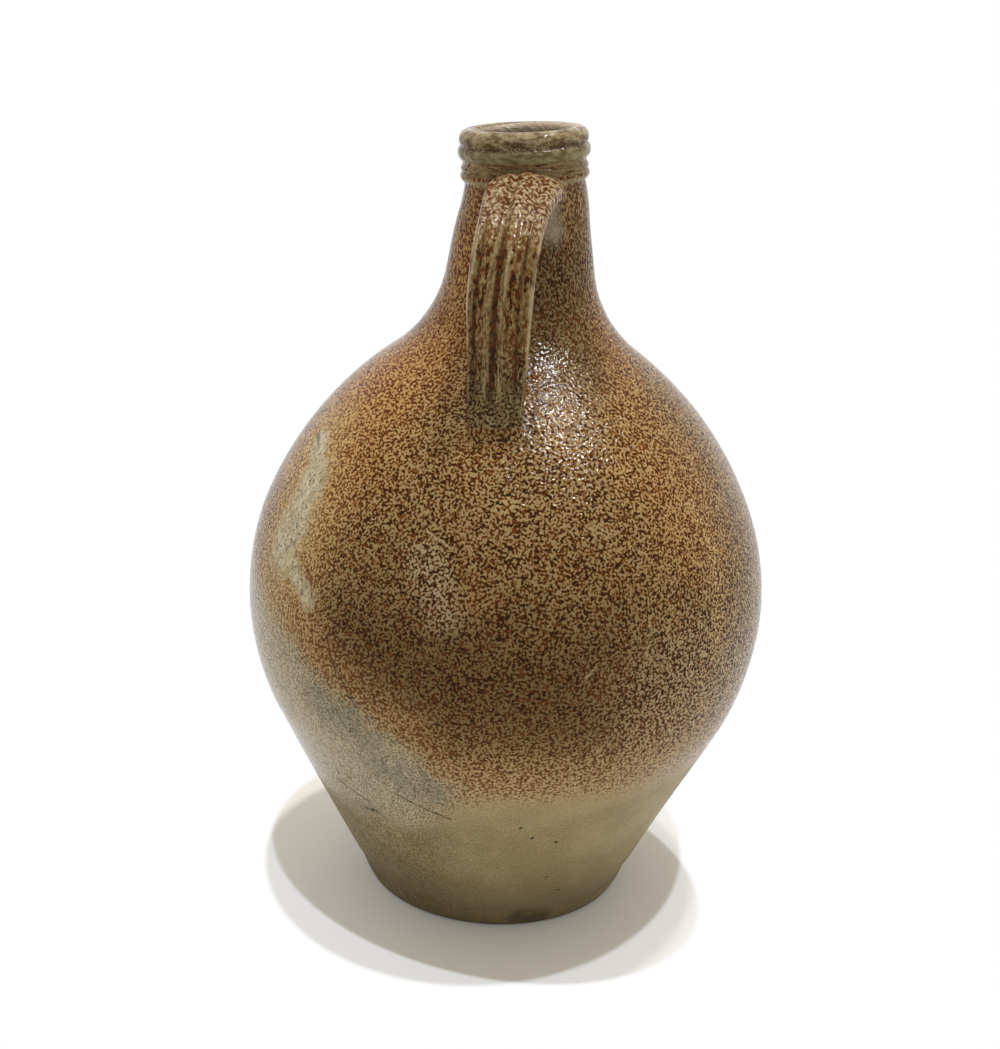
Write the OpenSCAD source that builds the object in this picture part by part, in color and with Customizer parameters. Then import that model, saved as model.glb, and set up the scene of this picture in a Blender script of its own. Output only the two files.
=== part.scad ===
// Salt-glazed stoneware jug: a thrown round body with a narrow ringed neck
// and one pulled strap handle, all fired into a single piece.
// Millimetres, +Z up, origin at the centre of the base on the body's axis.
// The handle stands on the -Y side.

/* [Body] */
// Height of the middle of the lip above the base
jug_height = 400; // [385:5:425]
// Radius of the lower wall where it meets the base
foot_radius = 67.6; // [60:0.4:76]
// Greatest radius of the belly
belly_radius = 133.4; // [127:0.4:140]
// Height of the widest ring of the belly
belly_height = 162.5; // [154:0.5:172]
// Radius of the belly's arc, seen in section
belly_arc = 129.5; // [124:0.5:133]
// Angle above level at which the belly's arc passes into the shoulder
belly_turn = 22.7; // [18:0.1:27]
// Radius of the flatter arc of the shoulder
shoulder_arc = 184; // [168:1:200]

/* [Foot] */
// Height of the turned band at the foot
foot_band = 9; // [6:0.5:14]
// How far the band stands out from the lower wall
foot_out = 1.1; // [0.6:0.1:2.4]
// Size of the bevel on the base's edge
foot_bevel = 1.5; // [0.5:0.1:2.5]
// Radius of the groove above the band
nick_round = 2; // [1:0.1:3]
// Depth of that groove in the wall
nick_depth = 0.7; // [0.3:0.1:1.2]

/* [Walls] */
// Thickness of the body wall
wall = 7; // [5:0.5:8.5]
// Thickness of the floor
floor_thick = 11; // [8:0.5:16]
// Radius of the corner between floor and wall, inside
floor_round = 26; // [16:1:34]

/* [Neck] */
// Radius of the throat that takes a stopper
throat_radius = 22.5; // [20:0.5:25]
// Thickness of the neck where it meets the rim
neck_wall = 6.2; // [5:0.2:8]
// Lean of the neck wall away from upright
neck_taper = 10.2; // [8:0.1:13]
// Radius of the hollow curve from shoulder to neck
neck_arc = 66; // [52:1:78]

/* [Rim] */
// Height of the whole rim, from the lower cordon to the lip
rim_height = 22; // [20:0.5:25]
// Tilt of the rim to one side, as the jug slumped in firing
rim_tilt = 4.4; // [0:0.1:6]
// Height of the lip
lip_height = 8; // [7:0.2:9]
// How far the lip stands out from the neck
lip_out = 2.5; // [1.5:0.1:4]
// Radius of the lip's outer edge
lip_round = 4.6; // [3.6:0.1:5]
// Radius of the lip's inner edge
lip_inner = 3; // [1.5:0.1:3.4]
// How far the collar stands out from the neck
collar_out = 3.3; // [2.4:0.1:4.5]
// Radius of the collar's round edge
collar_round = 3.9; // [3.2:0.1:4.4]
// How far the lower cordon stands out from the neck
cordon_out = 2.6; // [1.8:0.1:3.6]
// Radius of the lower cordon's round edge
cordon_round = 2.5; // [1.8:0.1:3]
// Radius of the thin ring on top of the cordon
ring_round = 1.4; // [0.9:0.1:1.8]

/* [Handle] */
// Depth of the handle's upper root below the lip
handle_drop = 27.5; // [25:0.5:32]
// Height of the handle's lower end above the base
handle_foot = 268; // [262:1:276]
// Greatest distance of the strap's middle from the axis
handle_reach = 80; // [74:1:88]
// Height of the point where the strap hangs upright
handle_bend = 326; // [318:1:334]
// Width of the strap half way down
strap_width = 30.5; // [25:0.5:36]
// Width of the strap at its lower end
strap_foot_width = 26; // [20:0.5:32]
// Width of the upper root
root_width = 38; // [34:0.5:44]
// Thickness of the strap
strap_thick = 10.5; // [8:0.5:13]
// Thickness of the upper root
root_thick = 23; // [12:0.5:25]
// Thickness of the end that is smoothed on to the shoulder
strap_foot_thick = 5; // [3:0.5:8]
// How deep the strap's lower end sits in the wall
strap_seat = 3.8; // [1.5:0.1:4.5]
// Depth of the middle groove
groove_depth = 2.8; // [0:0.1:3.2]
// Depth of the two side grooves
side_groove = 1.5; // [0:0.1:2]
// How far the upper root sits to one side of the lower end
root_shift = 3.5; // [-6:0.5:6]

/* [Hidden] */
$fn = 96;
clay = [0.62, 0.45, 0.27];

// The section is a chain of arcs and straight walls that touch each other.
// Every point of it is a pair of radius and height. A step inwards through
// the wall keeps the same centres, so the inside follows the outside.
rim_z = jug_height - rim_height;
neck_radius = throat_radius + neck_wall;
neck_side = [cos(neck_taper), sin(neck_taper)];
turn_side = [cos(belly_turn), sin(belly_turn)];
belly_mid = [belly_radius - belly_arc, belly_height];
shoulder_mid = belly_mid - (shoulder_arc - belly_arc) * turn_side;

// The lower wall runs up from the foot and touches the belly's arc
foot_gap = [foot_radius - belly_mid[0], belly_height];
wall_lean = atan2(foot_gap[1], foot_gap[0]) - acos(belly_arc / norm(foot_gap));

// The hollow arc touches the neck's straight wall and the shoulder's arc
neck_down = [sin(neck_taper), -cos(neck_taper)];
hollow_start = [neck_radius, rim_z] + neck_arc * neck_side;
hollow_gap = hollow_start - shoulder_mid;
hollow_along = hollow_gap * neck_down;
hollow_far = shoulder_arc + neck_arc;
hollow_run = hollow_far * hollow_far - hollow_gap * hollow_gap + hollow_along * hollow_along;
hollow_mid = hollow_start - (hollow_along + sqrt(hollow_run)) * neck_down;
hollow_side = (hollow_mid - shoulder_mid) / hollow_far;

// Radius of the two straight walls at a height, at a step t inside the wall
function wall_r(z, t) = foot_radius + z * tan(wall_lean) - t / cos(wall_lean);
function neck_r(z, t) = neck_radius + (rim_z - z) * tan(neck_taper) - t / cos(neck_taper);

// Outer radius at a height, from the same chain
function arc_r(mid, r, z) = mid[0] + sqrt(r * r - (z - mid[1]) * (z - mid[1]));
function hollow_r(z) = 2 * hollow_mid[0] - arc_r(hollow_mid, neck_arc, z);
function body_r(z) =
    z < belly_height - belly_arc * sin(wall_lean) ? wall_r(z, 0) :
    z < belly_height + belly_arc * sin(belly_turn) ? arc_r(belly_mid, belly_arc, z) :
    z < shoulder_mid[1] + shoulder_arc * hollow_side[1] ? arc_r(shoulder_mid, shoulder_arc, z) :
    z < hollow_mid[1] - neck_arc * sin(neck_taper) ? hollow_r(z) : neck_r(z, 0);

// Points along an arc from one angle to another, both ends included
function arc(mid, r, from, to, steps) =
    [for (k = [0 : steps]) let (a = from + (to - from) * k / steps) mid + r * [cos(a), sin(a)]];
function rest_of(list) = [for (k = [1 : len(list) - 1]) list[k]];

// Outline from the lower wall up to a height on the neck, at a step t inside
// the wall: belly, shoulder, hollow curve and straight neck
hollow_angle = atan2(hollow_side[1], hollow_side[0]);
function outline(t, high) = concat(
    arc(belly_mid, belly_arc - t, -wall_lean, belly_turn, 26),
    rest_of(arc(shoulder_mid, shoulder_arc - t, belly_turn, hollow_angle, 20)),
    rest_of(arc(hollow_mid, neck_arc + t, 180 + hollow_angle, 180 + neck_taper, 22)),
    [[neck_r(high, t), high], [0, high]]
);

// One length of the section between two heights, from the axis out to r
module length_of(r, low, high) {
    translate([0, low]) square([r, high - low]);
}

// Section of the outside: bevelled base, turned band, groove, wall and neck
module body_section() {
    edge = foot_radius + foot_out;
    lift = tan(wall_lean);
    step_z = foot_band + foot_out;
    difference() {
        polygon(concat([
            [0, 0],
            [edge - foot_bevel, 0],
            [edge + foot_bevel * lift, foot_bevel],
            [edge + foot_band * lift, foot_band],
            [wall_r(step_z, 0), step_z]
        ], outline(0, rim_z + 1)));
        translate([wall_r(step_z + nick_round, nick_depth) + nick_round, step_z + nick_round])
            circle(r = nick_round);
    }
}

// Section of the hollow: round-cornered floor, belly, shoulder and neck
module hollow_section() {
    mid_z = floor_thick + floor_round;
    mid = [wall_r(mid_z, wall + floor_round), mid_z];
    polygon(concat([[0, floor_thick]], arc(mid, floor_round, -90, -wall_lean, 10), outline(wall, rim_z)));
}

// Section of the rim, its heights counted from the lower cordon
module rim_section() {
    top = rim_height;
    foot = top - lip_height;
    lip_r = neck_radius + lip_out;
    collar_z = foot - collar_round + 1;
    length_of(neck_radius + 1.2, 0, foot + 1);
    translate([neck_radius + cordon_out - cordon_round, 0]) circle(r = cordon_round);
    translate([neck_radius + cordon_out - ring_round, cordon_round + ring_round - 0.4]) circle(r = ring_round);
    translate([neck_radius + collar_out - collar_round, collar_z]) circle(r = collar_round);
    length_of(lip_r - 0.4, foot, top - lip_round);
    translate([lip_r - lip_round, top - lip_round]) circle(r = lip_round);
    length_of(lip_r - lip_round, top - lip_round, top);
}

// Section of the throat, with the lip's inner edge rounded
module throat_section() {
    top = rim_height;
    length_of(throat_radius, -20, top - lip_inner);
    difference() {
        length_of(throat_radius + lip_inner, top - lip_inner, top + 2);
        translate([throat_radius + lip_inner, top - lip_inner]) circle(r = lip_inner);
    }
}

// The rim leans as one unit with its cordons and throat
module lean() {
    translate([0, 0, rim_z]) rotate([0, -rim_tilt, 0]) children();
}

// Middle line of the strap in the handle's plane: out from the neck, over
// the bend, and down to the shoulder, where it sinks into the wall
root_z = jug_height - handle_drop;
root = [throat_radius - 3, root_z];
over = [root[0] + 0.48 * (handle_reach - root[0]), root_z + 1.5];
high = [handle_reach, root_z - 0.22 * (root_z - handle_bend)];
bend = [handle_reach, handle_bend];
drop = handle_bend - handle_foot;
foot = [body_r(handle_foot) - strap_seat, handle_foot];
hang = [handle_reach, handle_bend - 0.4 * drop];
near = [foot[0] - 0.08 * drop, handle_foot + 0.42 * drop];

function blend(a, b, c, d, t) =
    pow(1 - t, 3) * a + 3 * t * pow(1 - t, 2) * b + 3 * t * t * (1 - t) * c + t * t * t * d;
function heading(a, b, c, d, t) =
    pow(1 - t, 2) * (b - a) + 2 * t * (1 - t) * (c - b) + t * t * (d - c);
function strap_mid(s) = s < 1 ? blend(root, over, high, bend, s) : blend(bend, hang, near, foot, s - 1);
function strap_way(s) = s < 1 ? heading(root, over, high, bend, s) : heading(bend, hang, near, foot, s - 1);
function unit(v) = v / norm(v);
function hump(x, w) = exp(-pow(x / w, 2));
function ease(x) = x <= 0 ? 0 : x >= 1 ? 1 : x * x * (3 - 2 * x);

// Width and thickness of the strap along its length, s from 0 to 2
function strap_w(s) =
    strap_width + (root_width - strap_width) * hump(s, 0.42) + (strap_foot_width - strap_width) * ease(s - 1);
function strap_t(s) =
    strap_thick + (root_thick - strap_thick) * hump(s, 0.38) + (strap_foot_thick - strap_thick) * ease((s - 1.45) / 0.55);

// The root is built up on its upper side, and less so underneath
function strap_under(s) = strap_t(s) - (root_thick - strap_thick) / 2 * hump(s, 0.38);

// Relief across the strap: a middle groove with a ridge beside it, two side
// grooves, a finer one between and a thin bead along each edge. All of it
// sways a little with the pull of the hand, and dies away at both ends.
function sway(s) = 0.05 * sin(178 * s + 23);
function reeds(u) =
    groove_depth * (hump(u + 0.12, 0.12) - 0.3 * hump(u - 0.1, 0.13)) +
    side_groove * (hump(u - 0.6, 0.1) + 0.87 * hump(u + 0.68, 0.1) + 0.47 * hump(u - 0.33, 0.08)) -
    0.4 * side_groove * hump(abs(u) - 0.86, 0.09);
function strap_relief(u, s) = -ease((s - 0.06) / 0.22) * ease((2 - s) / 0.35) * reeds(u + sway(s));
function strap_edge(s) = 5 - 3.3 * hump(s, 0.6) - 2.8 * ease((s - 1.5) / 0.5);
function strap_half(u, s) = pow(max(0, 1 - pow(abs(u), strap_edge(s))), 0.5) / 2;

// One cross section, outer face first and inner face back
face_steps = 40;
back_steps = 14;
strap_steps = 50;
function face_u(k) = sin(-90 + 180 * k / face_steps);
function back_u(k) = sin(90 - 180 * k / back_steps);
function strap_side(k, s) = k <= face_steps ?
    [face_u(k) * strap_w(s) / 2, strap_half(face_u(k), s) * strap_t(s) + strap_relief(face_u(k), s)] :
    [back_u(k - face_steps) * strap_w(s) / 2, -strap_half(back_u(k - face_steps), s) * strap_under(s)];
function strap_point(k, s) =
    let (p = strap_side(k, s), m = strap_mid(s), w = unit(strap_way(s)))
    [p[0] + root_shift * (1 - ease(s / 1.3)), -(m[0] - w[1] * p[1]), m[1] + w[0] * p[1]];

// The pulled strap handle, reeded along its outer face
module strap() {
    ring = face_steps + back_steps;
    points = [for (j = [0 : strap_steps]) for (k = [0 : ring - 1]) strap_point(k, 2 * j / strap_steps)];
    skin = [for (j = [0 : strap_steps - 1]) for (k = [0 : ring - 1])
        let (a = j * ring + k, b = j * ring + (k + 1) % ring) each [[a, b, b + ring], [a, b + ring, a + ring]]];
    start = [for (k = [0 : ring - 1]) ring - 1 - k];
    end = [for (k = [0 : ring - 1]) strap_steps * ring + k];
    polyhedron(points = points, faces = concat([start], skin, [end]), convexity = 6);
}

// The jug: one solid with its hollow, its open mouth and its handle
module jug() {
    color(clay) difference() {
        union() {
            rotate_extrude($fn = 180) body_section();
            lean() rotate_extrude() rim_section();
            strap();
        }
        rotate_extrude($fn = 180) hollow_section();
        lean() rotate_extrude() throat_section();
    }
}

jug();
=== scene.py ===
from math import acos, atan2, cos, exp, hypot, pi, radians, sin, sqrt, tan

import bpy
from mathutils import Matrix, Vector
from mathutils.bvhtree import BVHTree


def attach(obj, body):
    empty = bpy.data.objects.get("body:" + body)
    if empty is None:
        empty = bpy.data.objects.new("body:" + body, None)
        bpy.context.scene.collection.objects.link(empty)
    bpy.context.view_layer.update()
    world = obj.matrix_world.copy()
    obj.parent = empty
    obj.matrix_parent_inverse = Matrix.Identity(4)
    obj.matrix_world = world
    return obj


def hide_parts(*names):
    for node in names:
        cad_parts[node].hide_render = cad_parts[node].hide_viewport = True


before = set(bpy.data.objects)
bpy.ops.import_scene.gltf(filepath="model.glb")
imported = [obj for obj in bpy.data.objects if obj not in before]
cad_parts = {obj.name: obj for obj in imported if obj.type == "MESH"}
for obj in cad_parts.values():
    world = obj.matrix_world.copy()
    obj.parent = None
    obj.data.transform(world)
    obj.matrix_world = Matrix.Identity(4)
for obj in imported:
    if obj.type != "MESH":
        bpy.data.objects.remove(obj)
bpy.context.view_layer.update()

# Camera and studio. The photograph looks down on the jug from a little to the
# right of its handle, with the picture turned slightly, so the jug leans.
scene = bpy.context.scene
scene.view_settings.view_transform = "Standard"

LENS, SENSOR = 58.9, 36
CAMERA_AT = Vector((0.0924, -0.8371, 0.4911))
PICTURE_RIGHT = Vector((0.99067, 0.12954, 0.04223))
PICTURE_BACK = Vector((0.10858, -0.93785, 0.3296))
camera_data = bpy.data.cameras.new("camera")
camera_data.lens = LENS
camera_data.sensor_width = SENSOR
camera_data.dof.use_dof = False
camera = bpy.data.objects.new("camera", camera_data)
scene.collection.objects.link(camera)
scene.camera = camera
right = PICTURE_RIGHT.normalized()
back = (PICTURE_BACK - right * PICTURE_BACK.dot(right)).normalized()
upward = back.cross(right)
camera.matrix_world = Matrix((
    (right.x, upward.x, back.x, CAMERA_AT.x),
    (right.y, upward.y, back.y, CAMERA_AT.y),
    (right.z, upward.z, back.z, CAMERA_AT.z),
    (0, 0, 0, 1),
))


def lamp(name, place, aim, wide, high, power):
    """An oblong lamp that faces a point."""
    data = bpy.data.lights.new(name, "AREA")
    data.shape = "RECTANGLE"
    data.size = wide
    data.size_y = high
    data.energy = power
    thing = bpy.data.objects.new(name, data)
    scene.collection.objects.link(thing)
    thing.location = place
    thing.rotation_euler = (Vector(aim) - Vector(place)).to_track_quat("-Z", "Y").to_euler()
    return thing


# two lamps high above throw the two shadows, and a third is seen only in the glaze
lamp("overhead_right", (1.0, 0.52, 6), (0, 0, 0.1), 0.24, 0.24, 150)
lamp("overhead_left", (-0.25, 0.35, 6), (0, 0, 0.1), 0.24, 0.24, 150)
gloss_lamp = lamp("gloss_lamp", (0.385, -0.11, 1.21), (0, 0, 0.28), 0.15, 0.21, 17)
gloss_lamp.visible_diffuse = False


# Surroundings. The jug stands in a white tent, which is white to the camera and
# in reflections. Its light is softer and a little warm, and comes mostly from
# behind, so that the flanks are paler than the front.
class Shade:
    """A socket in a node tree, on which sums are written as plain Python."""

    def __init__(self, tree, socket=None):
        self.tree = tree
        self.socket = socket

    def node(self, kind, settings=None, inputs=None, out=0):
        made = self.tree.nodes.new("ShaderNode" + kind)
        for name, value in (settings or {}).items():
            setattr(made, name, value)
        for name, value in (inputs or {}).items():
            if isinstance(value, Shade):
                self.tree.links.new(value.socket, made.inputs[name])
            else:
                made.inputs[name].default_value = value
        return Shade(self.tree, made.outputs[out] if len(made.outputs) else None)

    def maths(self, operation, *values):
        return self.node("Math", {"operation": operation}, dict(enumerate(values)))

    def __add__(self, other):
        return self.maths("ADD", self, other)

    def __sub__(self, other):
        return self.maths("SUBTRACT", self, other)

    def __rsub__(self, other):
        return self.maths("SUBTRACT", other, self)

    def __mul__(self, other):
        return self.maths("MULTIPLY", self, other)

    __radd__ = __add__
    __rmul__ = __mul__

    def most(self, other):
        return self.maths("MAXIMUM", self, other)

    def least(self, other):
        return self.maths("MINIMUM", self, other)

    def size(self):
        return self.maths("ABSOLUTE", self)

    def from_to(self, low, high, start=0.0, end=1.0):
        """Goes smoothly from start to end while the value goes from low to high."""
        sockets = {0: self, 1: low, 2: high, 3: start, 4: end}
        return self.node("MapRange", {"interpolation_type": "SMOOTHSTEP"}, sockets)

    def over(self, under, colour):
        """This value is the share of a colour that is laid over another."""
        return self.node("Mix", {"data_type": "RGBA"}, {0: self, 6: under, 7: colour}, 2)

    def vector(self, operation, other, out=0):
        return self.node("VectorMath", {"operation": operation}, {0: self, 1: other}, out)


def paint(red, green, blue):
    """A colour as the eye sees it, from 0 to 255 each, turned into light."""
    seen = [value / 255 for value in (red, green, blue)]
    return tuple(c / 12.92 if c < 0.04045 else ((c + 0.055) / 1.055) ** 2.4 for c in seen) + (1,)


CAMERA_RAY, GLOSSY_RAY, TRANSMISSION_RAY = 0, 3, 6
WHITE, WARM = (1, 1, 1, 1), (1, 0.965, 0.90, 1)
FRONT_LIGHT, BACK_LIGHT = 0.34, 0.86
tent = bpy.data.worlds.new("white_tent")
scene.world = tent
tent.use_nodes = True
tent.node_tree.nodes.clear()
air = Shade(tent.node_tree)
toward = air.node("TexCoord")
away = air.node("SeparateXYZ", inputs={0: toward}, out=1)
seen = air.node("LightPath", out=CAMERA_RAY)
mirrored = air.node("LightPath", out=GLOSSY_RAY)
through = air.node("LightPath", out=TRANSMISSION_RAY)
spread = away.from_to(-0.9, 0.4, FRONT_LIGHT, BACK_LIGHT)
white = seen.most(mirrored).most(through)
power = spread * (1 - white) + white
tint = white.over(WARM, WHITE)
light = air.node("Background", inputs={"Color": tint, "Strength": power})
air.node("OutputWorld", inputs={0: light})

# Floor: one flat sheet of white card. To the camera and in reflections it is
# burnt out to plain white, apart from two ovals round the jug's foot, where the
# card shows with the two shadows that the jug throws. The ovals are painted
# shadow outlines: where only one of them lies the card is half burnt out, which
# is painted lighter shade, and towards the left all of it is painted paler.
OBJECT_COORDINATES = 3
CARD_SIZE = 8
LEFT_SHADE, RIGHT_SHADE = 0.46, 0.47
bpy.ops.object.select_all(action="DESELECT")
bpy.ops.mesh.primitive_plane_add(size=CARD_SIZE, location=(0, 0, 0))
floor = bpy.context.object
floor.name = "floor"
card = bpy.data.materials.new("white_card")
card.use_nodes = True
card.node_tree.nodes.clear()
sheet = Shade(card.node_tree)
spot = sheet.node("TexCoord", out=OBJECT_COORDINATES)


def oval(centre, lengthways, crossways):
    """1 inside an oval on the floor, given by its two half lengths, and 0 outside."""
    gone = spot.vector("SUBTRACT", centre)
    long_way = gone.vector("DOT_PRODUCT", Vector(lengthways) / Vector(lengthways).length_squared, 1)
    short_way = gone.vector("DOT_PRODUCT", Vector(crossways) / Vector(crossways).length_squared, 1)
    reach = sheet.node("CombineXYZ", inputs={0: long_way, 1: short_way}).vector("LENGTH", (0, 0, 0), 1)
    return reach.from_to(0.985, 1.02, 1, 0)


# painted shadow: two ovals drawn in the shape of the jug's two shadows on the floor
dark_left = oval((-0.0125, 0.0184, 0), (0.0022, 0.1426, 0), (0.1156, -0.0018, 0)) * LEFT_SHADE
dark_right = oval((-0.0075, -0.0017, 0), (-0.1046, 0.0813, 0), (0.0622, 0.08, 0)) * RIGHT_SHADE
plain = sheet.node("BsdfDiffuse", inputs={"Color": paint(240, 236, 226)})
glow = sheet.node("Emission", inputs={"Color": WHITE, "Strength": 1.0})
looked = sheet.node("LightPath", out=CAMERA_RAY).most(sheet.node("LightPath", out=GLOSSY_RAY))
looked = looked.most(sheet.node("LightPath", out=TRANSMISSION_RAY))
# the painted shadow is made a little paler towards the left
paler = sheet.node("SeparateXYZ", inputs={0: spot}).from_to(-0.14, 0.02, 0.89, 1)
share = looked * (1 - (dark_left + dark_right) * paler)
top = sheet.node("MixShader", inputs={0: share, 1: plain, 2: glow})
sheet.node("OutputMaterial", inputs={0: top})
floor.data.materials.append(card)

# Thrown body: one wall of stoneware clay drawn up on the wheel from a flat base
# to the ringed mouth. Its section is drawn from the base's middle, up the
# outside, over the lip and down the inside, and is spun round the wheel's axis.
MM = 0.001
FOOT, BELLY, BELLY_UP, BELLY_ARC, BELLY_TURN = 67.6, 133.4, 162.5, 129.5, 22.7
SHOULDER_ARC, NECK_ARC, NECK_LEAN, NECK, RIM_UP = 184.0, 66.0, 10.2, 28.7, 378.0
RIM_TILT, THROAT, WALL, FLOOR_UP, CORNER = 4.4, 22.5, 7.0, 11.0, 26
TURNS = 192


def on_arc(mid, r, start, end, steps):
    """Points along an arc, from one angle to another."""
    return [(mid[0] + r * cos(radians(start + (end - start) * k / steps)),
             mid[1] + r * sin(radians(start + (end - start) * k / steps))) for k in range(steps + 1)]


belly_mid = (BELLY - BELLY_ARC, BELLY_UP)
spare = SHOULDER_ARC - BELLY_ARC
shoulder_mid = (belly_mid[0] - spare * cos(radians(BELLY_TURN)), BELLY_UP - spare * sin(radians(BELLY_TURN)))
foot_gap = (FOOT - belly_mid[0], BELLY_UP)
lean = atan2(foot_gap[1], foot_gap[0]) - acos(BELLY_ARC / hypot(*foot_gap))
down = (sin(radians(NECK_LEAN)), -cos(radians(NECK_LEAN)))
start = (NECK - NECK_ARC * down[1], RIM_UP + NECK_ARC * down[0])
gap = (start[0] - shoulder_mid[0], start[1] - shoulder_mid[1])
along = gap[0] * down[0] + gap[1] * down[1]
run = along + sqrt((SHOULDER_ARC + NECK_ARC) ** 2 - gap[0] ** 2 - gap[1] ** 2 + along ** 2)
hollow_mid = (start[0] - run * down[0], start[1] - run * down[1])
hollow_turn = atan2(hollow_mid[1] - shoulder_mid[1], hollow_mid[0] - shoulder_mid[0]) * 180 / pi


def wall_line(inside, fine):
    """The wall from the lower slope to the neck, a step inside the outer face."""
    slope = [(FOOT + z * tan(lean) - inside / cos(lean), z) for z in (22, 34, 46, 58, 70, 82, 94)]
    rise = on_arc(belly_mid, BELLY_ARC - inside, -lean * 180 / pi, BELLY_TURN, 18 * fine)
    fall = on_arc(shoulder_mid, SHOULDER_ARC - inside, BELLY_TURN, hollow_turn, 12 * fine)[1:]
    sweep = on_arc(hollow_mid, NECK_ARC + inside, 180 + hollow_turn, 180 + NECK_LEAN, 10 * fine)[1:]
    neck = [(NECK + (RIM_UP - z) * tan(radians(NECK_LEAN)) - inside / cos(radians(NECK_LEAN)), z)
            for z in (340, 348, 356, 363, 369)]
    return slope + rise + fall + sweep + neck


def body_radius(z):
    """Radius of the outer face at a height."""
    if z < BELLY_UP - BELLY_ARC * sin(lean):
        return FOOT + z * tan(lean)
    if z < BELLY_UP + BELLY_ARC * sin(radians(BELLY_TURN)):
        return belly_mid[0] + sqrt(BELLY_ARC ** 2 - (z - BELLY_UP) ** 2)
    if z < shoulder_mid[1] + SHOULDER_ARC * sin(radians(hollow_turn)):
        return shoulder_mid[0] + sqrt(SHOULDER_ARC ** 2 - (z - shoulder_mid[1]) ** 2)
    if z < hollow_mid[1] - NECK_ARC * sin(radians(NECK_LEAN)):
        return hollow_mid[0] - sqrt(NECK_ARC ** 2 - (z - hollow_mid[1]) ** 2)
    return NECK + (RIM_UP - z) * tan(radians(NECK_LEAN))


def softened(points, rounds=2):
    """Cuts the corners of a line of points, as a wet sponge does."""
    for _ in range(rounds):
        cut = [points[0]]
        for a, b in zip(points, points[1:]):
            cut += [(0.75 * a[0] + 0.25 * b[0], 0.75 * a[1] + 0.25 * b[1]),
                    (0.25 * a[0] + 0.75 * b[0], 0.25 * a[1] + 0.75 * b[1])]
        points = cut + [points[-1]]
    return points


foot_line = [(0, 0), (30, 0), (55, 0), (65.5, 0.05), (67.9, 0.5), (69.3, 2.2),
             (72.2, 8.4), (72.4, 9.8), (72.3, 10.8), (73.0, 12.4), (75.2, 16.4)]
# the ring, the waist, the collar and the lip, as radius and height above the neck
rim_points = [(29.4, -4.0), (29.6, -3.0), (30.4, -2.3), (31.3, -1.0), (31.35, 0.8), (30.7, 2.0),
              (30.2, 2.4), (30.9, 2.9), (31.1, 4.1), (30.3, 5.2), (29.9, 6.2), (30.1, 7.3),
              (31.3, 8.3), (32.1, 10.0), (32.1, 12.2), (31.6, 13.6), (30.6, 14.3), (30.9, 14.9),
              (31.35, 16.6), (31.2, 18.6), (30.3, 20.6), (28.4, 21.8), (26.4, 22.1),
              (24.5, 21.6), (23.0, 20.2), (THROAT, 18.2), (THROAT, 14.0)]
rim_line = [(out, RIM_UP + up) for out, up in rim_points]
throat_line = [(THROAT, RIM_UP + 8.0), (THROAT, RIM_UP + 2.0), (THROAT + 0.05, RIM_UP - 4.0)]
inner_mid = (FOOT + (FLOOR_UP + CORNER) * tan(lean) - (WALL + CORNER) / cos(lean), FLOOR_UP + CORNER)
corner_line = on_arc(inner_mid, CORNER, -90, -lean * 180 / pi, 8)
inside_line = wall_line(WALL, 1)[:6:-1] + corner_line[::-1] + [(20, FLOOR_UP), (0, FLOOR_UP)]
section = softened(foot_line) + wall_line(0, 2) + softened(rim_line) + throat_line + inside_line

bpy.ops.object.select_all(action="DESELECT")
bpy.ops.mesh.primitive_plane_add(size=0.001, location=(0, 0, 0))
jug = bpy.context.object
jug.name = "jug_stoneware"
bpy.ops.object.mode_set(mode="EDIT")
bpy.ops.mesh.select_all(action="SELECT")
bpy.ops.mesh.merge(type="CENTER")
last = section[0]
for point in section[1:]:
    bpy.ops.mesh.extrude_region_move(TRANSFORM_OT_translate={
        "value": ((point[0] - last[0]) * MM, 0, (point[1] - last[1]) * MM)})
    last = point
bpy.ops.mesh.select_all(action="SELECT")
bpy.ops.mesh.spin(steps=TURNS, angle=2 * pi, center=(0, 0, 0), axis=(0, 0, 1))
bpy.ops.mesh.select_all(action="SELECT")
bpy.ops.mesh.remove_doubles(threshold=0.00002)
bpy.ops.mesh.normals_make_consistent(inside=False)
bpy.ops.object.mode_set(mode="OBJECT")

# Strap handle: a tapering strap of clay, pulled straight between wet fingers
# that leave its grooves, bent over, luted under the lip and smoothed down on
# to the shoulder. It is fused with the body in the firing.
REACH, BEND_UP, FOOT_UP, ROOT_UP = 80.0, 326.0, 268.0, 372.5
ROOT_WIDE, STRAP_WIDE, END_WIDE, ROOT_SHIFT = 38.0, 30.5, 26.0, 3.5
ROOT_THICK, STRAP_THICK, END_THICK = 23.0, 10.5, 5.0


def eased(x):
    """Goes smoothly from 0 to 1, and stays there."""
    x = min(max(x, 0), 1)
    return x * x * (3 - 2 * x)


def strap_size(s):
    """Width and thickness of the strap, s from 0 at the root to 2 at its end."""
    wide = STRAP_WIDE + (ROOT_WIDE - STRAP_WIDE) * exp(-(s / 0.42) ** 2)
    wide += (END_WIDE - STRAP_WIDE) * eased(s - 1)
    thick = STRAP_THICK + (ROOT_THICK - STRAP_THICK) * exp(-(s / 0.38) ** 2)
    return wide, thick + (END_THICK - STRAP_THICK) * eased((s - 1.45) / 0.55)


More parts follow.
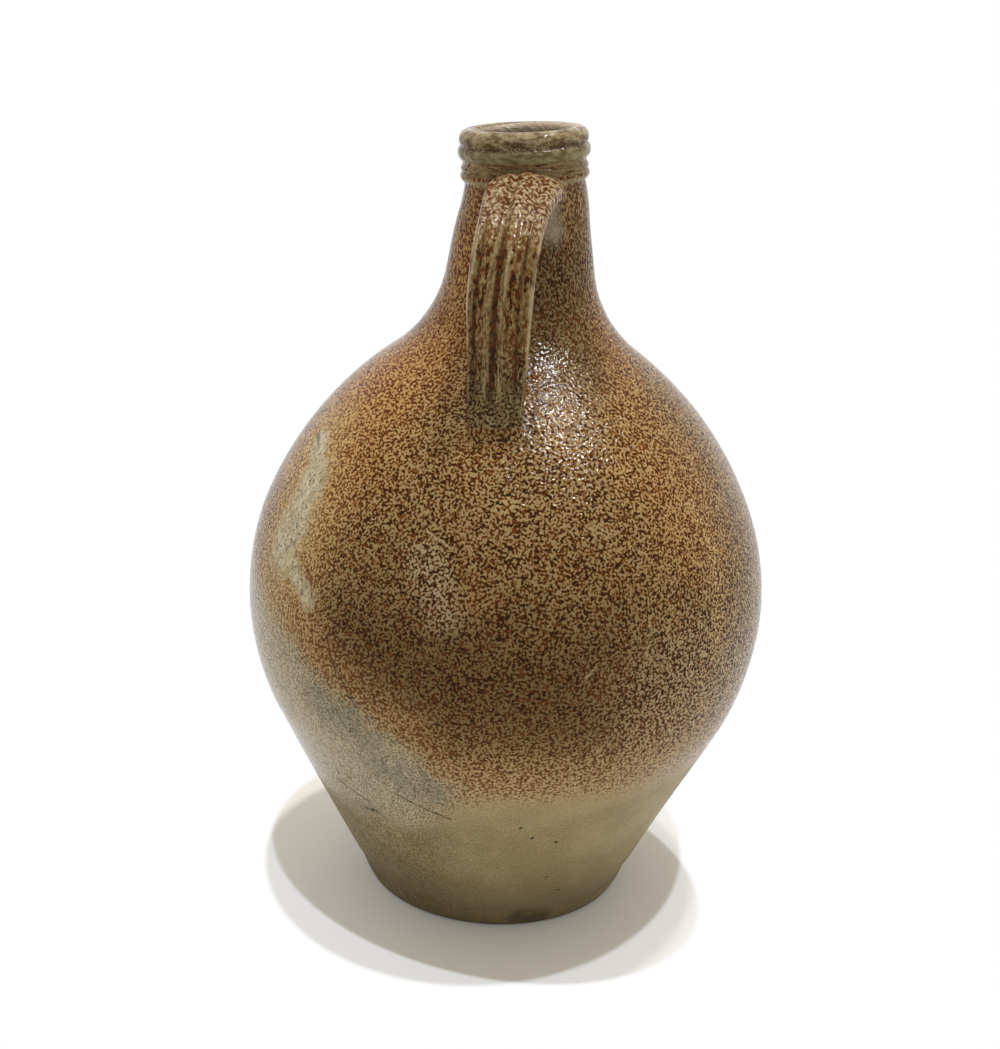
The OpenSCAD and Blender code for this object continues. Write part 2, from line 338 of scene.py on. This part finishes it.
# the line that the strap is bent along
drop = BEND_UP - FOOT_UP
foot_out = body_radius(FOOT_UP) - 3.8
bpy.ops.object.select_all(action="DESELECT")
bpy.ops.curve.primitive_bezier_curve_add(location=(0, 0, 0))
bow = bpy.context.object
bow.name = "strap_line"
bow.data.resolution_u = 48
bow.data.splines[0].bezier_points.add(1)
line = [((19.5, ROOT_UP), (10, ROOT_UP - 0.5), (19.5 + 0.48 * (REACH - 19.5), ROOT_UP + 1.5)),
        ((REACH, BEND_UP), (REACH, ROOT_UP - 0.22 * (ROOT_UP - BEND_UP)), (REACH, BEND_UP - 0.4 * drop)),
        ((foot_out, FOOT_UP), (foot_out - 0.08 * drop, FOOT_UP + 0.42 * drop), (foot_out + 2, FOOT_UP - 8))]
for knot, (at, before, after) in zip(bow.data.splines[0].bezier_points, line):
    knot.handle_left_type = knot.handle_right_type = "FREE"
    knot.co = (0, -at[0] * MM, at[1] * MM)
    knot.handle_left = (0, -before[0] * MM, before[1] * MM)
    knot.handle_right = (0, -after[0] * MM, after[1] * MM)
strap_long = bow.data.splines[0].calc_length()

# the straight strap, drawn out from one end
STEPS, ROUND_POINTS = 96, 128
bpy.ops.object.select_all(action="DESELECT")
bpy.ops.mesh.primitive_circle_add(vertices=ROUND_POINTS, radius=0.5, location=(0, 0, 0),
                                  rotation=(0, pi / 2, 0), fill_type="NGON")
strap = bpy.context.object
strap.name = "strap"
bpy.ops.object.transform_apply(location=False, rotation=True, scale=False)
wide, thick = strap_size(0)
bpy.ops.object.mode_set(mode="EDIT")
bpy.ops.mesh.select_all(action="SELECT")
bpy.ops.transform.resize(value=(1, wide * MM, thick * MM), center_override=(0, 0, 0))
for step in range(1, STEPS + 1):
    new_wide, new_thick = strap_size(2 * step / STEPS)
    bpy.ops.mesh.extrude_region_move(TRANSFORM_OT_translate={"value": (strap_long / STEPS, 0, 0)})
    bpy.ops.transform.resize(value=(1, new_wide / wide, new_thick / thick), center_override=(0, 0, 0))
    wide, thick = new_wide, new_thick
bpy.ops.mesh.select_all(action="SELECT")
bpy.ops.mesh.normals_make_consistent(inside=False)
bpy.ops.object.mode_set(mode="OBJECT")
side_step = ROOT_SHIFT * MM
# depth, place across the strap and half width of each finger groove; one is a ridge
GROOVES = [(2.8, -0.12, 0.12), (-0.84, 0.10, 0.13), (1.5, 0.60, 0.10), (1.3, -0.68, 0.10), (0.7, 0.33, 0.08)]
for v in strap.data.vertices:
    s = 2 * v.co.x / strap_long
    wide, thick = strap_size(s)
    u, h = v.co.y / (wide * MM / 2), v.co.z / (thick * MM / 2)
    flat = 5 - 3.3 * exp(-(s / 0.6) ** 2) - 2.8 * eased((s - 1.5) / 0.5)
    long_u = abs(u) ** (1 - 0.28 * (flat - 2) / 3)
    side = 1 if h >= 0 else -1
    groove = 0
    if side > 0:
        live = eased((s - 0.06) / 0.22) * eased((2 - s) / 0.35)
        sway = 0.05 * sin(3.1 * s + 0.4)
        dents = [deep * exp(-((u - at + sway) / half) ** 2) for deep, at, half in GROOVES]
        groove = live * (sum(dents) - 0.6 * exp(-((abs(u) - 0.86) / 0.09) ** 2))
    v.co.y = (1 if u >= 0 else -1) * long_u * wide * MM / 2 + side_step * (1 - eased(s / 1.3))
    if side < 0:
        thick -= 0.5 * (ROOT_THICK - STRAP_THICK) * exp(-(s / 0.38) ** 2)
    v.co.z = side * max(0, 1 - long_u ** flat) ** 0.5 * thick * MM / 2 - groove * MM

bend = strap.modifiers.new("bend_over", "CURVE")
bend.object = bow
bend.deform_axis = "POS_X"
bpy.context.view_layer.objects.active = strap
bpy.ops.object.modifier_apply(modifier=bend.name)
bpy.data.objects.remove(bow)

# The potter presses the strap on to the wet wall and smooths the seams, so the
# two are one piece. What would stand in the throat is cut away first.
REAMER_RADIUS, REAMER_LONG, REAMER_UP = 0.0252, 0.06, 0.370
bpy.ops.object.select_all(action="DESELECT")
bpy.ops.mesh.primitive_cylinder_add(vertices=96, radius=REAMER_RADIUS, depth=REAMER_LONG,
                                    location=(0, 0, REAMER_UP))
reamer = bpy.context.object
bpy.context.view_layer.objects.active = strap
clear = strap.modifiers.new("clear_throat", "BOOLEAN")
clear.operation = "DIFFERENCE"
clear.solver = "EXACT"
clear.object = reamer
bpy.ops.object.modifier_apply(modifier=clear.name)
bpy.data.objects.remove(reamer)

# the mouth leans as a whole, and the neck below it gives way to it
for v in jug.data.vertices:
    lean_by = -radians(RIM_TILT) * eased((v.co.z / MM - 350) / 24)
    if lean_by:
        x, z = v.co.x, v.co.z - RIM_UP * MM
        v.co.x = x * cos(lean_by) + z * sin(lean_by)
        v.co.z = z * cos(lean_by) - x * sin(lean_by) + RIM_UP * MM

wall_side = BVHTree.FromObject(jug, bpy.context.evaluated_depsgraph_get())
strap_side = BVHTree.FromObject(strap, bpy.context.evaluated_depsgraph_get())
bpy.context.view_layer.objects.active = jug
lute = jug.modifiers.new("lute_strap", "BOOLEAN")
lute.operation = "UNION"
lute.solver = "EXACT"
lute.object = strap
bpy.ops.object.modifier_apply(modifier=lute.name)
bpy.data.objects.remove(strap)


def seam_share(place, reach):
    """How near a point is to where the strap meets the wall, from 0 to 1."""
    from_wall = wall_side.find_nearest(place)[3]
    from_strap = strap_side.find_nearest(place)[3]
    return max(0, 1 - max(from_wall, from_strap) / (reach * MM))


def near_strap():
    """The points of the jug round the strap, but for those inside the neck."""
    handle_side = [v for v in jug.data.vertices if v.co.y < -0.012 and abs(v.co.x) < 0.034]
    return [v for v in handle_side if 0.25 < v.co.z < 0.392 and hypot(v.co.x, v.co.y) > 0.0262]


# a wet finger rounds off the seam
for rounds, reach in ((6, 5.5), (8, 3.5)):
    bpy.ops.object.select_all(action="DESELECT")
    jug.select_set(True)
    chosen = {v.index for v in near_strap() if seam_share(v.co, reach) > 0.08}
    for part in (jug.data.vertices, jug.data.edges, jug.data.polygons):
        part.foreach_set("select", [False] * len(part))
    for index in chosen:
        jug.data.vertices[index].select = True
    bpy.ops.object.mode_set(mode="EDIT")
    bpy.ops.mesh.select_mode(type="VERT")
    bpy.ops.mesh.vertices_smooth(factor=0.5, repeat=rounds)
    bpy.ops.object.mode_set(mode="OBJECT")

# hands and drying leave the wall a little uneven; the base stays flat
uneven = jug.vertex_groups.new(name="uneven")
for v in jug.data.vertices:
    up = v.co.z / MM
    uneven.add([v.index], eased((up - 2) / 30) * (1 - 0.6 * eased((up - 330) / 40)), "REPLACE")
strap_at = [0.0] * len(jug.data.vertices)
inside_at = [0.0] * len(jug.data.vertices)
for v in jug.data.vertices:
    out, up = hypot(v.co.x, v.co.y) / MM, v.co.z / MM
    if up > 5 and out < (25 if up > 376 else body_radius(up) - 3.5):
        inside_at[v.index] = 1.0
for v in near_strap():
    strap_at[v.index] = eased((wall_side.find_nearest(v.co)[3] / MM - 0.6) / 2.2)
SWELL_SIZE, SWELL_HIGH = 0.085, 0.0022
swell = bpy.data.textures.new("swell", "CLOUDS")
swell.noise_scale = SWELL_SIZE
swell.noise_depth = 1
hand = jug.modifiers.new("hand", "DISPLACE")
hand.texture = swell
hand.texture_coords = "LOCAL"
hand.vertex_group = "uneven"
hand.mid_level = 0.5
hand.strength = SWELL_HIGH
bpy.context.view_layer.objects.active = jug
bpy.ops.object.modifier_apply(modifier=hand.name)
jug.data.attributes.new("strap", "FLOAT", "POINT").data.foreach_set("value", strap_at)
jug.data.attributes.new("inside", "FLOAT", "POINT").data.foreach_set("value", inside_at)
for f in jug.data.polygons:
    f.use_smooth = True

# Salt glaze over an iron wash, beaded in the kiln into small curls of tan and
# brown. The flame burnt it orange, it is grey and olive on strap and mouth, and
# it thins out to bare buff clay at the foot. Lengths in it are millimetres.
glaze = bpy.data.materials.new("salt_glaze")
glaze.use_nodes = True
glaze.node_tree.nodes.clear()
pot = Shade(glaze.node_tree)
place = pot.node("TexCoord", out=OBJECT_COORDINATES).vector("MULTIPLY", (1 / MM, 1 / MM, 1 / MM))
ATTRIBUTE_VALUE = 2
on_strap = pot.node("Attribute", {"attribute_name": "strap"}, out=ATTRIBUTE_VALUE)
inside = pot.node("Attribute", {"attribute_name": "inside"}, out=ATTRIBUTE_VALUE)


def cloud(spot, size, detail=2.0, rough=0.5, twist=0.0, out=0):
    """Soft noise with patches of about twice the given size."""
    return spot.node("TexNoise", inputs={"Vector": spot, "Scale": 1 / size, "Detail": detail,
                                         "Roughness": rough, "Distortion": twist}, out=out)


def strayed(spot, size, far):
    """Points moved about by soft noise, so that edges drawn there are ragged."""
    push = cloud(spot, size, 3, 0.6, out=1).vector("SUBTRACT", (0.5, 0.5, 0.5))
    return spot.vector("ADD", push.vector("MULTIPLY", (far, far, far)))


def stroke(spot, points, widths, soft=0.5):
    """1 along a line of points, to half the width on each side, and 0 further out."""
    whole = None
    for k in range(max(1, len(points) - 1)):
        gone = spot.vector("SUBTRACT", points[k])
        gap = gone.vector("LENGTH", (0, 0, 0), 1)
        if len(points) > 1:
            reach = Vector(points[k + 1]) - Vector(points[k])
            share = gone.vector("DOT_PRODUCT", reach / reach.length_squared, 1)
            share = share.node("Clamp", inputs={0: share})
            nearest = share.node("CombineXYZ", inputs={0: share, 1: share, 2: share})
            gap = gone.vector("DISTANCE", nearest.vector("MULTIPLY", reach), 1)
        part = gap.from_to(widths[k] / 2 * (1 - soft), widths[k] / 2 * (1 + soft), 1, 0)
        whole = whole.most(part) if whole else part
    return whole


def strokes(spot, lines, wide, soft=0.5):
    """Several lines or single points, all of the same width."""
    whole = None
    for points in lines:
        part = stroke(spot, points, [wide] * len(points), soft)
        whole = whole.most(part) if whole else part
    return whole


x, y, z = [place.node("SeparateXYZ", inputs={0: place}, out=k) for k in range(3)]
ragged = strayed(strayed(place, 1.6, 3), 7, 9)
shaky = strayed(place, 2.4, 2.2)
drifting = strayed(place, 45, 46)
RIM_SLOPE = 0.077
level = z - x * RIM_SLOPE
front = y.from_to(30, -40)
off_strap = 1 - on_strap
reeded = on_strap * z.from_to(370, 350)
strap_end = on_strap * z.from_to(308, 282)

# curls of the glaze, drawn out downwards on the neck and along the strap
middle = x - z.from_to(326, 374) * 3.0
BEND_MID_UP, BEND_MID_OUT, BEND_RADIUS = 322, 32, 48
down_strap = pot.maths("ARCTAN2", z - BEND_MID_UP, 0 - y - BEND_MID_OUT) * BEND_RADIUS
neck = z.from_to(275, 325)
drawn = place.vector("MULTIPLY", (1, 1, 0.6))
drawn_strap = pot.node("CombineXYZ", inputs={0: middle, 1: down_strap * 0.6, 2: y * 0.1})
curl = cloud(place, 1.2, 0, 0.5, 0.35) * (1 - neck) + cloud(drawn, 0.95, 0, 0.5, 0.35) * neck
root = on_strap * z.from_to(350, 364)
curl = curl * (1 - root) + cloud(drawn, 1.7, 1, 0.5, 0.35) * root
down_it = reeded * strap_end.from_to(0.6, 0.4)
curl = curl * (1 - down_it) + cloud(drawn_strap, 0.95, 0, 0.5, 0.35) * down_it
blot = cloud(pot.node("CombineXYZ", inputs={0: middle, 1: down_strap * 0.4}), 2.0, 3, 0.6)
streaky = cloud(pot.node("CombineXYZ", inputs={0: middle, 1: down_strap * 0.1}), 1.5, 3, 0.6)
clump = cloud(place, 6, 2)
grain = cloud(place, 0.8, 1, 0.6)
skin = cloud(place, 0.8, 1, 0.5)
fine = cloud(place, 0.95, 0, 0.5, 0.3)

# the deep colour ends on a slanting line; the glaze ends lower on the left
left_side = x.from_to(12, -34) * front
deep_edge = z - x.from_to(-14, 14, 105, 113) + (x * 0.6).least(0)
deep_edge = deep_edge + (clump - 0.5) * 12 + (cloud(place, 30) - 0.5) * 18
full = (deep_edge * (1 + left_side * 0.7)).from_to(-12, 26)
glaze_edge = z - 98 + left_side * 26 + (clump - 0.5) * 8 + (cloud(place, 22) - 0.5) * 12
glazed = glaze_edge.from_to(-14, 10)
thin = (1 - full) * left_side
curl = curl * (1 - thin) + fine * thin

# colours of the glaze, burnt orange here and there, with painted shade on the
# belly's front and behind the strap, and a painted sheen low on the right flank
flame = stroke(drifting, [(-28, -26, 345), (-52, -38, 290), (-84, -60, 240)], [60, 74], 0.7) * 0.8
flame = flame.most(stroke(drifting, [(36, -20, 310), (70, -56, 262), (92, -66, 225)], [40, 44], 0.8) * 0.4)
flame = flame.most(stroke(drifting, [(-60, 40, 290), (20, 110, 235), (90, 75, 200)], [50, 70], 0.8) * 0.6)
orange = flame.most(cloud(drifting, 62, 2).from_to(0.50, 0.70) * 0.45) * (1 - reeded) * (1 - root * 0.7)
shadowy = cloud(place, 2.4, 1).from_to(0.40, 0.62)
light_tone = orange.over(paint(150, 128, 88), paint(182, 145, 90))
middle_tone = orange.over(paint(116, 76, 28), paint(148, 94, 34))
dark_tone = shadowy.over(paint(42, 22, 2), paint(86, 44, 10))
dark_tone = (orange * 0.6).over(dark_tone, paint(106, 50, 8))
# painted shade: the middle of the belly's front is darkened
painted_belly_shade = stroke(drifting, [(-34, -124, 165), (45, -118, 160)], [86], 0.8) * full
light_tone = (painted_belly_shade * 0.9).over(light_tone, paint(104, 86, 52))
middle_tone = (painted_belly_shade * 0.7).over(middle_tone, paint(80, 49, 20))
pale = 1 - full
light_tone = pale.over(light_tone, left_side.over(paint(164, 144, 106), paint(168, 158, 134)))
middle_tone = pale.over(middle_tone, left_side.over(paint(134, 100, 62), paint(136, 124, 98)))
near_edge = deep_edge.from_to(44, 4) * full * (0.35 + left_side * 0.65)
light_tone = (near_edge * 0.6).over(light_tone, paint(178, 152, 110))
middle_tone = (near_edge * 0.6).over(middle_tone, paint(140, 104, 60))
# painted sheen: the lower right flank is made paler, standing in for a reflection
painted_flank_sheen = x.from_to(40, 100) * z.from_to(205, 160) * full
light_tone = (painted_flank_sheen * 0.55).over(light_tone, paint(178, 160, 130))
middle_tone = (painted_flank_sheen * 0.4).over(middle_tone, paint(134, 108, 76))
dark_tone = (near_edge * 0.55).over(dark_tone, paint(122, 78, 36))
wiped_at = pot.node("CombineXYZ", inputs={0: x * 0.8 + z * 0.6, 1: (x * 0.6 - z * 0.8) * 0.25, 2: y * 0.4})
wiped = cloud(wiped_at, 3.2, 4, 0.65)
wash = stroke(ragged, [(-74, -108, 139), (-54, -117, 129)], [28], 1)
wash = wash.most(stroke(ragged, [(-40, -113, 108), (-20, -117, 101)], [30], 1))
wash = wash.most(stroke(shaky, [(-96, -84, 165), (-80, -104, 156)], [9], 0.9) * 0.7)
wash = wash.most(stroke(shaky, [(-58, -85, 74), (-46, -92, 72)], [9], 0.9))
wash = wash.most(stroke(shaky, [(-24, -96, 62), (-10, -89, 46)], [22], 0.9) * 0.5)
wash = (wash + (wiped - 0.5) * 3).from_to(0.3, 1.1) * wash.from_to(0, 0.3)
light_tone = (wash * 0.75).over(light_tone, paint(128, 124, 107))
middle_tone = (wash * 0.75).over(middle_tone, paint(98, 93, 78))
dark_tone = (pale * 0.85).over(dark_tone, left_side.over(paint(96, 60, 32), paint(84, 70, 46)))
# painted shadow: the neck beside the strap is darkened where the strap shades it
painted_strap_shadow = stroke(drifting, [(22, -32, 338), (26, -46, 306)], [44], 0.8) * off_strap
light_tone = (neck * 0.3).over(light_tone, paint(120, 92, 60))
middle_tone = (neck * 0.35).over(middle_tone, paint(78, 50, 22))
light_tone = (painted_strap_shadow * 0.8).over(light_tone, paint(112, 97, 64))
middle_tone = (painted_strap_shadow * 0.8).over(middle_tone, paint(74, 57, 30))

# bare clay under the glaze's edge, finely speckled
clay = cloud(place, 26, 2).from_to(0.36, 0.64).over(paint(146, 132, 99), paint(160, 146, 113))
# painted shade: the bare clay darkens towards the floor
clay = (z.from_to(52, 6) * 0.55).over(clay, paint(102, 92, 64))
clay = (grain.from_to(0.54, 0.40) * (0.4 + left_side * 0.35)).over(clay, paint(98, 86, 58))
light_tone = glazed.over(clay, light_tone)
middle_tone = glazed.over((left_side * 0.9).over(clay, paint(106, 94, 66)), middle_tone)

# the strap and the mouth are olive grey, with brown blots on the strap
olive = cloud(place, 5, 2).over(paint(120, 108, 74), paint(158, 142, 104))
grey_olive = cloud(place, 4, 2).over(paint(126, 114, 84), paint(158, 146, 116))
olive = (z.from_to(330, 300) * 0.6).over(olive, grey_olive)
olive = (streaky.from_to(0.46, 0.60) * 0.6).over(olive, paint(98, 80, 52))
light_tone = (root * 0.8).over(light_tone, paint(174, 158, 126))
dark_tone = (root * 0.7).over(dark_tone, paint(90, 46, 20))
middle_tone = (root * 0.6).over(middle_tone, paint(116, 84, 44))
light_tone = (reeded * 0.85).over(light_tone, olive)
strap_middle = z.from_to(316, 296).over(paint(122, 90, 48), paint(104, 90, 62))
middle_tone = (reeded * 0.7).over(middle_tone, strap_middle)
melting = strap_end * (z + (clump - 0.5) * 24).from_to(270, 286)
light_tone = (melting * 0.7).over(light_tone, paint(126, 112, 74))
dark_tone = (melting * 0.7).over(dark_tone, paint(52, 38, 16))

# patches where the glaze is thin or rubbed
patch_line = [(-87.6, -51.3, 250.3), (-87.4, -68.4, 236.8), (-93.5, -75.4, 219.8),
              (-99.6, -78.4, 203.4), (-82.1, -101.8, 188.2)]
pale_patch = stroke(ragged, patch_line, [14, 25, 28, 12], 1)
pale_patch = (pale_patch + (cloud(place, 2.0, 3, 0.6) - 0.5) * 1.1).from_to(0.30, 0.95)
fringe = stroke(ragged, [(-88, -55, 252), (-93, -77, 219.8), (-95, -84, 196)], [42, 54], 0.7)
worn = stroke(ragged, [(-24.2, -118.2, 218.6), (-13.7, -128.1, 196.6)], [16], 0.9)
rubbed_line = [(92.4, -60, 238.2), (104.7, -63.1, 215.2), (110.4, -68.5, 192.2),
               (109.6, -75.7, 169.3), (104.1, -83.2, 156.4)]
rubbed = stroke(ragged, rubbed_line, [4, 6, 6, 4], 0.9)
rubbed = rubbed.most(strokes(ragged, [((63, -77.2, 253.5),), ((9.2, -106.2, 243.7),)], 8, 0.9))
amber = stroke(ragged, [(15.5, -61.5, 290), (13, -71, 280)], [12, 5], 0.5) * off_strap
light_tone = (amber * 0.9).over(light_tone, paint(150, 106, 40))
middle_tone = (amber * 0.9).over(middle_tone, paint(112, 68, 20))
light_tone = (fringe * 0.7).over(light_tone, paint(186, 162, 110))
middle_tone = (fringe * 0.75).over(middle_tone, paint(162, 130, 76))
dark_tone = (fringe * 0.65).over(dark_tone, paint(130, 92, 46))
light_tone = (worn * 0.5).over(light_tone, paint(176, 162, 134))
middle_tone = (worn * 0.4).over(middle_tone, paint(134, 116, 88))
light_tone = (rubbed * 0.7).over(light_tone, paint(188, 160, 112))
middle_tone = (rubbed * 0.6).over(middle_tone, paint(152, 118, 68))
plain_mouth = level.from_to(384.6, 386.2)

# how far each point is from light glaze, 0, by way of middle to dark, 1
fading = (1 - glazed) * (1 - left_side) * 0.06
dark = (curl - 0.5 + (clump - 0.5) * 0.10 + pale * 0.03 + fading).from_to(0.14, -0.14)
stripe = (middle + 8.4).size().from_to(3, 1).most((middle - 5.6).size().from_to(3, 1.4))
blots = (blot - 0.5 - stripe * 0.05 + strap_end * 0.03).from_to(0.0, -0.08) * (1 - strap_end * 0.4)
blots = blots * (reeded * (0.75 + 0.25 * z.from_to(300, 330)) + root * 0.2)
dark = (dark * (1 - reeded * 0.55 * z.from_to(300, 326))).most(blots)
waist = level.from_to(378.6, 380) * level.from_to(386.4, 385)
dark = dark * (0.2 + 0.8 * glazed.most(left_side * 0.75)) * (1 - pale * (0.1 + left_side * 0.15))
dark = dark * (1 - 0.62 * pale_patch) * (1 - 0.8 * plain_mouth) * (1 - 0.6 * waist * off_strap)
colour = dark.from_to(0.05, 0.5).over(light_tone, middle_tone)
colour = dark.from_to(0.5, 1).over(colour, dark_tone)

# marks of the kiln and of wear on the wall
chalky = cloud(place, 5, 3, 0.6).from_to(0.35, 0.65).over(paint(160, 151, 125), paint(194, 186, 162))
colour = (pale_patch * 0.8).over(colour, chalky)
flecks = cloud(place.vector("MULTIPLY", (1, 1, 0.6)), 1.2, 2).from_to(0.56, 0.63)
colour = (pale_patch * flecks * 0.8).over(colour, paint(70, 64, 52))
colour = (thin * wiped.from_to(0.52, 0.68) * 0.25).over(colour, paint(178, 170, 150))
rings = cloud(pot.node("CombineXYZ", inputs={0: x * 0.05, 1: y * 0.05, 2: z}), 1.6, 3, 0.6)
colour = ((1 - glazed) * rings.from_to(0.54, 0.70) * 0.12).over(colour, paint(96, 86, 62))

pale_lines = strokes(shaky, [((-24.2, -112.4, 230), (-12.7, -117.1, 224.5)),
                             ((46.6, -101.9, 235), (55.9, -100.2, 230.4)),
                             ((78.4, -103.8, 191.7), (78.3, -107.2, 175.1)),
                             ((34.5, -102.8, 239.5), (60.5, -90.3, 238.6)),
                             ((48.2, -100.2, 236.5), (59, -98.6, 230.1)),
                             ((56.3, -120.3, 174.6), (52.2, -122.6, 169.7))], 1.2, 0.7)
colour = (pale_lines * 0.5).over(colour, paint(190, 168, 128))
red_lines = strokes(shaky, [((9.9, -109.4, 238.7), (60.5, -90.3, 240.5)),
                            ((-95.2, -80.6, 209.2), (-82, -98.4, 199.1), (-79.2, -104.1, 188.4)),
                            ((-107.5, -71.1, 196.5), (-85.1, -99.2, 188.5))], 1.3, 0.6)
colour = (red_lines * 0.7).over(colour, paint(98, 50, 20))
dark_lines = strokes(shaky, [((-36.8, -107.4, 92.1), (-9.4, -108, 81.9)),
                             ((-54.6, -88.3, 72.8), (-47.7, -92.8, 73.7)),
                             ((-70.9, -84.6, 85.8), (-51.7, -93.5, 78.6)),
                             ((-66.8, -115.5, 163.8), (-59.2, -119, 150.8)),
                             ((-59.2, -118.6, 148), (-55.6, -119.8, 143.8)),
                             ((12.6, -78, 276.2), (10.2, -99.4, 253.1)),
                             ((-16.5, -59.1, 291.2), (-13.8, -71.2, 281.9), (-11.4, -82, 272.5)),
                             ((12, -57.5, 294), (9.5, -67.8, 285.2), (7.6, -76.4, 278.2))], 1.2, 0.7)
colour = (dark_lines * 0.75).over(colour, paint(52, 42, 28))
blue_marks = strokes(shaky, [((-91, -45.1, 252), (-87.5, -54, 248)),
                             ((110.1, -26.7, 234), (110.6, -28, 230)), ((114.4, -31.9, 222.6),)], 2.8, 0.6)
colour = (blue_marks * 0.75).over(colour, paint(72, 74, 70))
pits_at = [(25, -93, 54), (36, -79, 38.8), (40.9, -92.2, 66.8), (24.4, -104.4, 79.4),
           (29.5, -98.9, 71.4), (41.8, -68.6, 25.7), (-57, -119.5, 147), (-51, -91, 73.5)]
pits = strokes(shaky, [(at,) for at in pits_at], 1.7, 0.4)
colour = (pits * 0.85).over(colour, paint(34, 27, 18))
smudge = stroke(ragged, [(22, -66, 7), (33, -62, 5)], [11, 8], 0.6)
colour = (smudge * 0.6).over(colour, paint(60, 52, 38))
# painted shade: the lowest few millimetres of the foot darkened where it meets the floor
colour = (z.from_to(3.2, 0.8) * 0.7).over(colour, paint(58, 50, 36))
smear = stroke(shaky, [(15, -30, 367), (17.5, -28.5, 356)], [11, 9], 1) * off_strap
colour = (smear * 0.65).over(colour, paint(166, 158, 140))

# the grooves of the strap hold dark glaze, darkened further by painted shade,
# and its ridges are rubbed pale
groove_glaze_and_shade = (middle + 1.7).size().from_to(2.0, 0.8) * 0.9
groove_glaze_and_shade = groove_glaze_and_shade.most((middle - 9.0).size().from_to(1.2, 0.4) * 0.7)
groove_glaze_and_shade = groove_glaze_and_shade.most((middle + 10.8).size().from_to(1.4, 0.5) * 0.7)
ridge = (middle - 1.9).size().from_to(1.3, 0.4) * 0.7
ridge = ridge.most((middle + 4.6).size().from_to(2.2, 0.8) * 0.5)
ridge = ridge.most(middle.size().from_to(13.2, 14.0) * 0.75)
outer = reeded * z.from_to(278, 296)
colour = (ridge * outer * streaky.from_to(0.60, 0.42)).over(colour, paint(166, 150, 114))
# dark glaze and painted shade in the strap's grooves
groove_glaze_and_shade_tone = shadowy.over(paint(36, 20, 8), paint(84, 42, 14))
colour = (groove_glaze_and_shade * outer * streaky.from_to(0.26, 0.44)).over(colour, groove_glaze_and_shade_tone)

# the waist of the mouth holds brown glaze, its rings are rubbed pale
speck = cloud(place, 1.0, 2)
mottle = cloud(pot.node("CombineXYZ", inputs={0: x * 0.45, 1: y * 0.45, 2: z}), 2.4, 4, 0.65)
lip = level.from_to(390, 393)
mouth_dark = lip.over(paint(92, 84, 54), paint(92, 70, 42))
mouth_light = lip.over(paint(138, 132, 102), paint(156, 142, 112))
colour = (plain_mouth * 0.85).over(colour, mottle.from_to(0.38, 0.60).over(mouth_dark, mouth_light))
turned = cloud(pot.node("CombineXYZ", inputs={0: x * 0.12, 1: y * 0.12, 2: z}), 0.8, 3, 0.6)
colour = (waist * off_strap * 0.65).over(colour, paint(132, 116, 82))
brown_turns = waist * (1 - on_strap * 0.7) * turned.from_to(0.46, 0.58) * clump.from_to(0.36, 0.56)
colour = (brown_turns * 0.9).over(colour, paint(74, 42, 18))
lip_low = level.from_to(391.5, 393) * level.from_to(398, 394.5)
colour = (lip_low * mottle.from_to(0.66, 0.40) * 0.7).over(colour, paint(76, 58, 34))
joint = level.from_to(390.4, 391.6) * level.from_to(396.5, 393)
colour = (joint * speck.from_to(0.44, 0.58) * 0.75).over(colour, paint(62, 44, 22))
under_edge = level.from_to(374.6, 375.6) * level.from_to(378, 376.6) * off_strap
colour = (under_edge * 0.6).over(colour, paint(146, 136, 98))
colour = inside.over(colour, speck.over(paint(146, 130, 112), paint(194, 176, 154)))

# the surface is dimpled like the peel of an orange, and cut by the pits and scratches
relief = cloud(place, 1.9, 0, 0.5, 0.3) * 0.5 + curl * 0.12 + skin * 0.04 + cloud(place, 3.2, 2) * 0.12
relief = relief - pits * 0.5 - dark_lines * 0.2
bump = pot.node("Bump", inputs={"Strength": 1.0, "Distance": MM, "Height": relief * (0.3 + 0.7 * glazed)})
roughness = 0.045 + dark * 0.12 + (1 - glazed) * 0.38 + (pale_patch + worn) * 0.1
roughness = roughness + inside * 0.25 + (grain - 0.5) * 0.08

GLAZE_IOR, GLOSS_LEVEL = 1.45, 0.1
body = pot.node("BsdfPrincipled", inputs={"Base Color": colour, "Roughness": roughness, "IOR": GLAZE_IOR,
                                          "Specular IOR Level": GLOSS_LEVEL, "Normal": bump})
pot.node("OutputMaterial", inputs={0: body})
jug.data.materials.clear()
jug.data.materials.append(glaze)

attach(jug, "root")
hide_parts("jug")
